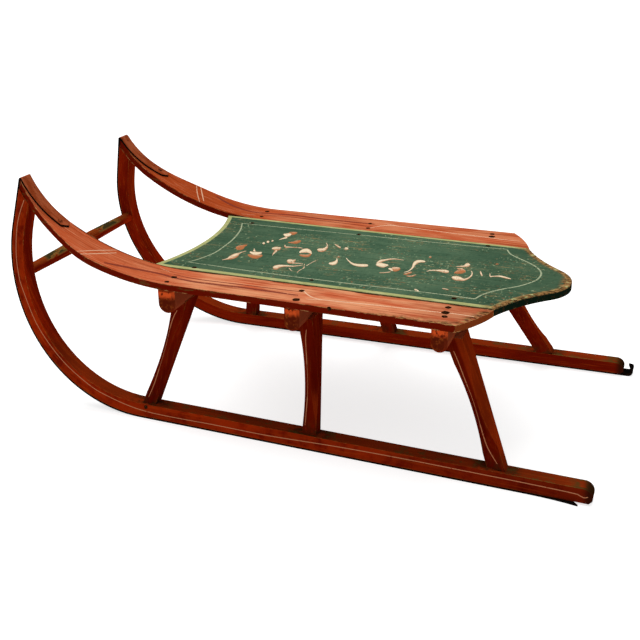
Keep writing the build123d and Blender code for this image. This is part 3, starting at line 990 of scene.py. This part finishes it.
# %% Board lines
INSET_LINES = [
    [(188, 262, 1.8), (200, 258.6, 2.2), (214.8, 252.6, 2.2), (226, 245, 2.2), (233.9, 238.4, 2.2),
        (240.4, 230, 2.2), (242.2, 223.4, 1.6)],
    [(241, 223.2, 1.4), (260, 225.2, 2), (300, 229.2, 2), (340, 233, 1.6), (380, 237, 2), (440, 243, 1.8),
        (507, 249.4, 1.8)],
    [(507, 249.4, 1.8), (510.5, 254, 2.4), (519, 258.4, 2.4), (527.3, 262, 2.4), (537.1, 267.6, 2.4),
        (541.2, 273.8, 2.4), (536, 280.2, 2.4), (520.3, 285.8, 2.4), (500, 289.6, 2.4), (484, 294, 2.4),
        (474.6, 299, 2.2)],
    [(474.4, 299, 2.2), (468, 298, 2.4), (440, 294.2, 2.2), (400, 289.4, 2.2), (350, 283.6, 2.2),
        (300, 277.4, 2), (240, 269.6, 2), (212, 265.4, 1.8), (188, 262, 1.6)],
]
GREY_GREEN = "#B3BB98"
pale_line = line_finish("pale_line_on_board", board_coat, GREY_GREEN, (0.34, 0.48), 0.8)
plans = [read_off("deck_board", line) for line in INSET_LINES]
brushed("inset_line_board", "deck_board", plans, "above", 1, pale_line)

# %% [markdown]
# ## Brush strokes on the board
# The ornament is stroke work, as on old carts, chests and sleds everywhere: each comma, bud or
# scroll is one press of a round brush loaded with cream on one side and orange-brown on the other.
# The brush lands full, turns and lifts to a hair. So a stroke here is a line with a thickness at
# each point, its ends rounded off, built a third of a millimetre thick in the middle. Each point
# keeps its place across the stroke, how brown the stroke is and how well it has lasted.

# %% Laying a stroke
BOARD_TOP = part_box("deck_board")[1].z
STROKE_CROWN = 0.3 * MM
STROKE_STEP = 0.8
THINNEST = 0.15
NARROWEST = 0.1
ACROSS = (-1, -0.5, 0, 0.5, 1)


def board_spot(px, py):
    """The place on the board's flat top that shows at a point of the picture."""
    direction = aim(px, py)
    return camera.location + direction * ((BOARD_TOP - camera.location.z) / direction.z)


def stroke(line, brown, kept, points, faces, across):
    """Adds one stroke. Its stations are picture points with a thickness, all in picture widths."""
    line = smooth(line, STROKE_STEP)
    reach = [0.0]
    for a, b in zip(line, line[1:]):
        reach.append(reach[-1] + (b.xy - a.xy).length)
    first = len(points)
    for i, station in enumerate(line):
        heading = (line[min(i + 1, len(line) - 1)].xy - line[max(i - 1, 0)].xy).normalized()
        full = max(station.z / 2, THINNEST)
        gap = max(full - min(reach[i], reach[-1] - reach[i]), 0)
        half = max(math.sqrt(full ** 2 - gap ** 2), NARROWEST)
        for share in ACROSS:
            place = board_spot(station.x - heading.y * half * share, station.y + heading.x * half * share)
            rise = PAINT_EDGE + STROKE_CROWN * (1 - share ** 2) * min(1, half)
            points.append(place + Vector((0, 0, rise)))
            across.append((share, brown, kept))
    row = len(ACROSS)
    for i in range(len(line) - 1):
        for j in range(row - 1):
            a = first + row * i + j
            faces.append((a, a + 1, a + 1 + row, a + row))


def stroke_coat(tree):
    """Two-tone oil paint, worn through to the green."""
    across = add(tree, "Attribute", out=1, attribute_name="across")
    place, brown, kept = add(tree, "SeparateXYZ", across).node.outputs
    where = place_of(tree)[0]
    hairs = lumps(tree, where, (9, 4, 9), 4, 0.65)
    tilt = add(tree, "Math MULTIPLY_ADD", place, SIDE_SHARE, brown)
    blend = add(tree, "Math MULTIPLY_ADD", hairs, HAIR_SHARE, tilt)
    rim = add(tree, "Math ABSOLUTE", place)
    lasted = add(tree, "Math ADD", lumps(tree, where, (6, 6, 6), 5, 0.65), kept)
    paint = coats(
        tree, STROKE_CREAM,
        (STROKE_BROWN, (blend, 0.58, 1.15)),
        (STROKE_RIM, (rim, 0.45, 1.0), 0.7),
        (STROKE_RIM, (lumps(tree, where, (4, 4, 4), 3, 0.6), 0.56, 0.68), 0.6),
    )
    return coats(tree, board_coat(tree, False)[0], (paint, (lasted, 1.1, 1.22))), hairs


print("strokes lie at", round(BOARD_TOP / MM, 1), "mm")


# %% [markdown]
# ## The bouquet
# The strokes are listed from the front of the board to its rear: leaves, buds, a flower, commas and
# scrolls. Each has its share of brown, how well it has lasted, and its points.

# %% Strokes
STROKE_CREAM = "#EEDAB8"
STROKE_BROWN = "#B57148"
STROKE_RIM = "#A0663E"
SIDE_SHARE = 0.3
HAIR_SHARE = 0.95
STROKE_RELIEF = 0.15
STROKES = [
    (0.3, 0.84, (222, 260, 0.4), (227, 259, 1.3), (230, 257.8, 3.4), (233.6, 256.4, 4.6), (237, 254.8, 3.8),
        (239.4, 253.4, 1.4), (242, 252.2, 0.7), (246.4, 251, 0.5)),
    (0.75, 0.8, (235.6, 248, 2.2), (238.6, 247.9, 4.4), (242, 247.2, 4.4), (244.2, 245.8, 2.4),
        (247.4, 245, 0.7)),
    (0.7, 0.8, (247.8, 254.6, 1.6), (252, 256.2, 3.6), (257, 256.8, 3.6), (262.6, 255.2, 1.8)),
    (0.02, 0.84, (249.6, 252, 1.2), (254, 253.4, 3.4), (258, 253.4, 3.2), (262, 252.6, 1.4)),
    (0.2, 0.72, (254.2, 248.4, 0.9), (254.2, 250.4, 2.2), (254.6, 252.4, 2.6)),
    (0.15, 0.8, (262.4, 243.4, 2.4), (265, 243.2, 2.6)),
    (0.15, 0.8, (266.6, 242, 2.4), (269.4, 241.8, 2.4)),
    (0.2, 0.78, (271.4, 241, 1.8), (273.6, 240.8, 1.8)),
    (0.7, 0.8, (289, 233, 1.8), (293, 233.4, 3.2), (297.4, 232.6, 0.9)),
    (0.02, 0.9, (283.4, 234.2, 1), (286.2, 235.2, 3.6), (289.5, 234.6, 3.2), (291.8, 234, 0.9)),
    (0.2, 0.84, (287.4, 237.4, 2.2), (284, 238.2, 1.4), (279, 239.8, 0.5)),
    (0.7, 0.8, (288, 242.4, 0.8), (292, 242.6, 1.6), (296, 242.2, 3), (299.8, 241.2, 2.2),
        (300.8, 240.4, 0.8)),
    (0.3, 0.78, (271.8, 248.6, 1.4), (275.4, 248.6, 3.8), (279, 248.6, 3.2), (280.8, 247.2, 0.8)),
    (0.35, 0.8, (277, 250.2, 2.6), (274.6, 252.2, 1.8), (272, 255.6, 0.6)),
    (0.35, 0.72, (284.6, 244.8, 0.8), (285.6, 246.8, 2), (290, 247.2, 0.9), (297, 247.5, 0.9),
        (303, 248.6, 1.4)),
    (0, 0.92, (299.2, 252.6, 1.6), (303, 251, 3.8), (307, 250.6, 4.4), (310, 252, 3.4), (311.6, 254, 0.9)),
    (0.62, 0.88, (299.4, 255, 1.2), (304, 255.8, 2.6), (308.5, 255.6, 2.4), (311.4, 253.6, 1)),
    (0.25, 0.8, (317.2, 249.6, 2), (320, 250.1, 3.6), (323.6, 249.8, 3.4), (326.8, 247.4, 2.4),
        (327.4, 245.2, 1.2), (326.2, 242.8, 0.4)),
    (0.3, 0.72, (334.6, 244, 0.8), (338, 246.4, 1.4), (340.8, 248, 2.2)),
    (0.2, 0.72, (343.8, 248.8, 0.9), (346.4, 248.6, 2.8), (348.4, 249, 1)),
    (0.9, 0.62, (358.4, 250, 0.9), (362, 249.6, 2.6), (366.4, 249.2, 0.8)),
    (0.3, 0.82, (286.8, 261, 2.8), (290, 261.4, 4.6), (293.2, 261.2, 3.2), (295.8, 259.8, 0.8)),
    (0.3, 0.74, (292, 263, 1.6), (297, 263.3, 0.8), (303, 263.5, 0.5)),
    (0.25, 0.86, (272.8, 267.8, 2.6), (276, 267.4, 4.4), (280, 266.2, 3), (286, 265.9, 1.7), (294, 266.2, 1),
        (303, 265, 0.5)),
    (0.3, 0.72, (304.4, 263.8, 0.6), (304, 267, 1.5), (303.4, 268.2, 0.8), (299, 270.6, 0.6),
        (296.8, 273, 0.5)),
    (0.2, 0.72, (306, 266, 0.6), (313, 262, 0.5), (318, 259.6, 0.4)),
    (0.2, 0.72, (288.6, 267.4, 0.8), (290.4, 269.6, 0.7), (292, 271.2, 0.5)),
    (0.02, 0.9, (328.8, 263.4, 1.4), (332.6, 263.6, 3.4), (335.8, 262.2, 3.4), (337, 259.8, 1.4),
        (336.6, 258, 0.5)),
    (0.4, 0.72, (337.2, 257, 1.2), (340, 256.4, 1.8)),
    (0, 0.92, (346, 257.8, 0.5), (349, 261.2, 1.2), (353, 264, 2), (358, 265.2, 2.6), (363, 265.5, 2.9),
        (368.2, 265.4, 2.2)),
    (0.05, 0.9, (376, 264.8, 2), (379.5, 264.6, 4.4), (383.5, 265.4, 4.4), (387.6, 265.2, 1.6),
        (388.4, 265.2, 0.6)),
    (0.3, 0.84, (376.6, 263.6, 1.8), (380.6, 261.2, 2.8), (385, 260.2, 1.8), (391, 259.1, 1.2),
        (397, 259.2, 0.8), (404, 260.2, 0.4)),
    (0.48, 0.84, (391.2, 268.8, 3), (395, 269.2, 4.6), (398.6, 268.9, 3.4), (400.4, 268.4, 1.2)),
    (0, 0.9, (388.4, 268.4, 1.2), (391, 269.4, 2.4), (393, 270.8, 1.4)),
    (0.35, 0.72, (379, 272.8, 0.5), (385, 272.6, 0.8), (391, 271.8, 0.8)),
    (0.05, 0.92, (404, 272.4, 0.5), (408.6, 271, 0.9), (412.4, 267.8, 1.8), (414.4, 264, 3.2),
        (417, 261.9, 3.4), (421, 261.2, 2.4), (425.4, 261.7, 1.7)),
    (0.55, 0.8, (403.4, 274.4, 0.8), (407.6, 273.6, 2), (412, 272, 1.2)),
    (0.45, 0.72, (406.4, 275.9, 0.8), (411, 276.3, 1.4), (416, 274.9, 0.9)),
    (0.5, 0.72, (428.8, 257.2, 2), (431.6, 257, 2.2)),
    (0.15, 0.84, (426.4, 271.4, 0.5), (430.6, 270.4, 0.9), (437, 270.4, 1.3), (442, 270.9, 2.6),
        (446, 271.5, 3.4), (449, 272, 2.2)),
    (0.25, 0.82, (456, 266.6, 0.5), (460.6, 266.4, 1), (464.2, 266.2, 1.8), (467.4, 265, 4), (470.2, 265, 2)),
    (0.62, 0.8, (454, 273, 0.8), (458.6, 271.8, 4), (462.6, 271.1, 4.6), (465.8, 271.4, 1.6)),
    (0.5, 0.72, (456.8, 268.6, 0.6), (460, 269, 1.6), (463, 268.6, 0.8)),
    (0.22, 0.86, (451.6, 277.4, 1.6), (455, 278, 4.4), (459, 278.6, 4.2), (463.6, 279.7, 2.4),
        (468, 278.4, 1.4), (471.4, 275.6, 1.4), (472.2, 273, 1), (471, 270.6, 0.5)),
    (0.2, 0.84, (480.2, 271.2, 0.9), (481, 273.4, 1.7), (482.2, 276.2, 1.2)),
    (0.2, 0.82, (489.8, 273.2, 0.6), (490.3, 276.4, 1.2), (494, 276.3, 0.8), (500, 276.3, 1.6),
        (505, 277.5, 1.8), (511, 279, 0.9)),
    (0.95, 0.58, (493, 264, 1.2), (497, 264.4, 2.6), (500.4, 265, 1)),
    (0.95, 0.54, (514.6, 278, 1.2), (519, 278.2, 2.2), (522.6, 278.4, 1)),
    (0.3, 0.72, (442.2, 288.6, 0.9), (446, 289.2, 1.4), (448.8, 290, 0.6)),
    (0.2, 0.74, (414.4, 289, 1), (416.6, 290.4, 2), (419, 291.2, 0.8)),
]
points, faces, across = [], [], []
for brown, kept, *line in STROKES:
    stroke(line, brown, kept, points, faces, across)
stroke_paint = finish("two_tone_oil_strokes", stroke_coat, DULL, STROKE_RELIEF)
piece("stroke_ornament_board", points, faces, stroke_paint, across)

# %% [markdown]
# ## Nails
# Cut iron nails hold the rails and the board to the beams. Their heads are small, uneven squares
# with rounded corners, about half a millimetre proud and black with rust. A smith headed each one by
# hand, so size and outline vary here by chance, from a fixed start. A larger rivet holds each strap,
# painted over with it.

# %% Nails
NAIL_PLACES = {
    "rail_left": [(163, 154.5, 8.5), (164, 173, 7), (-15, 143, 8), (-20, 174, 10.5), (-206, 134.5, 8.5),
        (-207, 152, 11), (-209, 164.5, 8)],
    "rail_right": [(163, -137), (165.5, -165), (-13.5, -137), (-9.5, -160), (-199, -159.5, 10),
        (-197, -172, 8)],
    "deck_board": [(154, 113), (162, -98), (-11, -100.5), (-14, 104), (-206, 105), (-203, -113)],
}
SIDE_NAILS = {
    "runner_left": (203, 16.7), "rail_left": (-68.4, 201.9),
    "runner_right": (203, 16.7), "rail_right": (-68.4, 198),
}
STRAP_RIVETS = {"left": (343.4, 140.8), "right": (346, -148)}
NAIL_RANGE = (6.4, 7.8)
NAIL_RISE = 0.6
SIDE_NAIL_SIZE = 6.0
RIVET_SIZE, RIVET_RISE = 7.5, 1.8
# A head's rings, each as a share of its radius and of its rise.
RINGS = ((1.0, -0.1), (0.92, 0.42), (0.6, 0.85))
RING_POINTS = 10
SQUARENESS = 0.1
UNEVENNESS = 0.05
NAIL_BLACK = "#1A0E07"
NAIL_RUST = "#4A2812"
RIVET_DARK = "#2A120A"
RIVET_PAINT = "#8E4426"
NAIL_RELIEF = 0.2


def nail_coat(tree):
    rust = lumps(tree, place_of(tree)[0], (2, 2, 2), 4)
    return coats(tree, NAIL_BLACK, (NAIL_RUST, (rust, 0.45, 0.65))), rust


def rivet_coat(tree):
    where = place_of(tree)[0]
    patches = lumps(tree, where, (4, 4, 4), 3)
    return coats(tree, RIVET_DARK, (RIVET_PAINT, (patches, 0.4, 0.56))), lumps(tree, where, (2, 2, 2), 3)


nail_iron = finish("rusty_nail_iron", nail_coat, RUSTED, NAIL_RELIEF)
rivet_iron = finish("painted_rivet_iron", rivet_coat, RUSTED, NAIL_RELIEF)
chance = random.Random(7)


def head(found, across, rise, points, faces):
    """Adds one nail's or rivet's head: a dome with an uneven outline. Sizes are in millimetres."""
    place, normal = found
    side = normal.cross(Vector((1, 0, 0))).normalized()
    other = normal.cross(side)
    first = len(points)
    start = chance.uniform(0, math.pi)
    for share, height in RINGS:
        for i in range(RING_POINTS):
            turn = start + i * math.tau / RING_POINTS
            uneven = 1 + SQUARENESS * math.cos(4 * (turn - start)) + chance.uniform(-UNEVENNESS, UNEVENNESS)
            outward = (side * math.cos(turn) + other * math.sin(turn)) * (across / 2 * share * uneven)
            points.append(place + (outward + normal * height * rise) * MM)
    points.append(place + normal * rise * MM)
    for ring in range(len(RINGS)):
        base = first + RING_POINTS * ring
        for i in range(RING_POINTS):
            a, b = base + i, base + (i + 1) % RING_POINTS
            top = (b + RING_POINTS, a + RING_POINTS) if ring + 1 < len(RINGS) else (len(points) - 1,)
            faces.append((a, b, *top))


def heads(name, places, rise, material):
    """One new piece made of heads, each with its size. A head without one gets it by chance."""
    points, faces = [], []
    for found, *size in places:
        head(found, size[0] if size else chance.uniform(*NAIL_RANGE), rise, points, faces)
    piece(name, points, faces, material)


for node_name, places in NAIL_PLACES.items():
    found = [(from_above(node_name, x, y), *size) for x, y, *size in places]
    heads(f"nails_{node_name}", found, NAIL_RISE, nail_iron)
for side, hand in SIDES.items():
    for node_name in (f"runner_{side}", f"rail_{side}"):
        found = from_side(node_name, *SIDE_NAILS[node_name], hand)
        heads(f"side_nail_{node_name}", [(found, SIDE_NAIL_SIZE)], NAIL_RISE, nail_iron)
    found = from_above(f"shoe_{side}", *STRAP_RIVETS[side])
    heads(f"rivet_strap_{side}", [(found, RIVET_SIZE)], RIVET_RISE, rivet_iron)
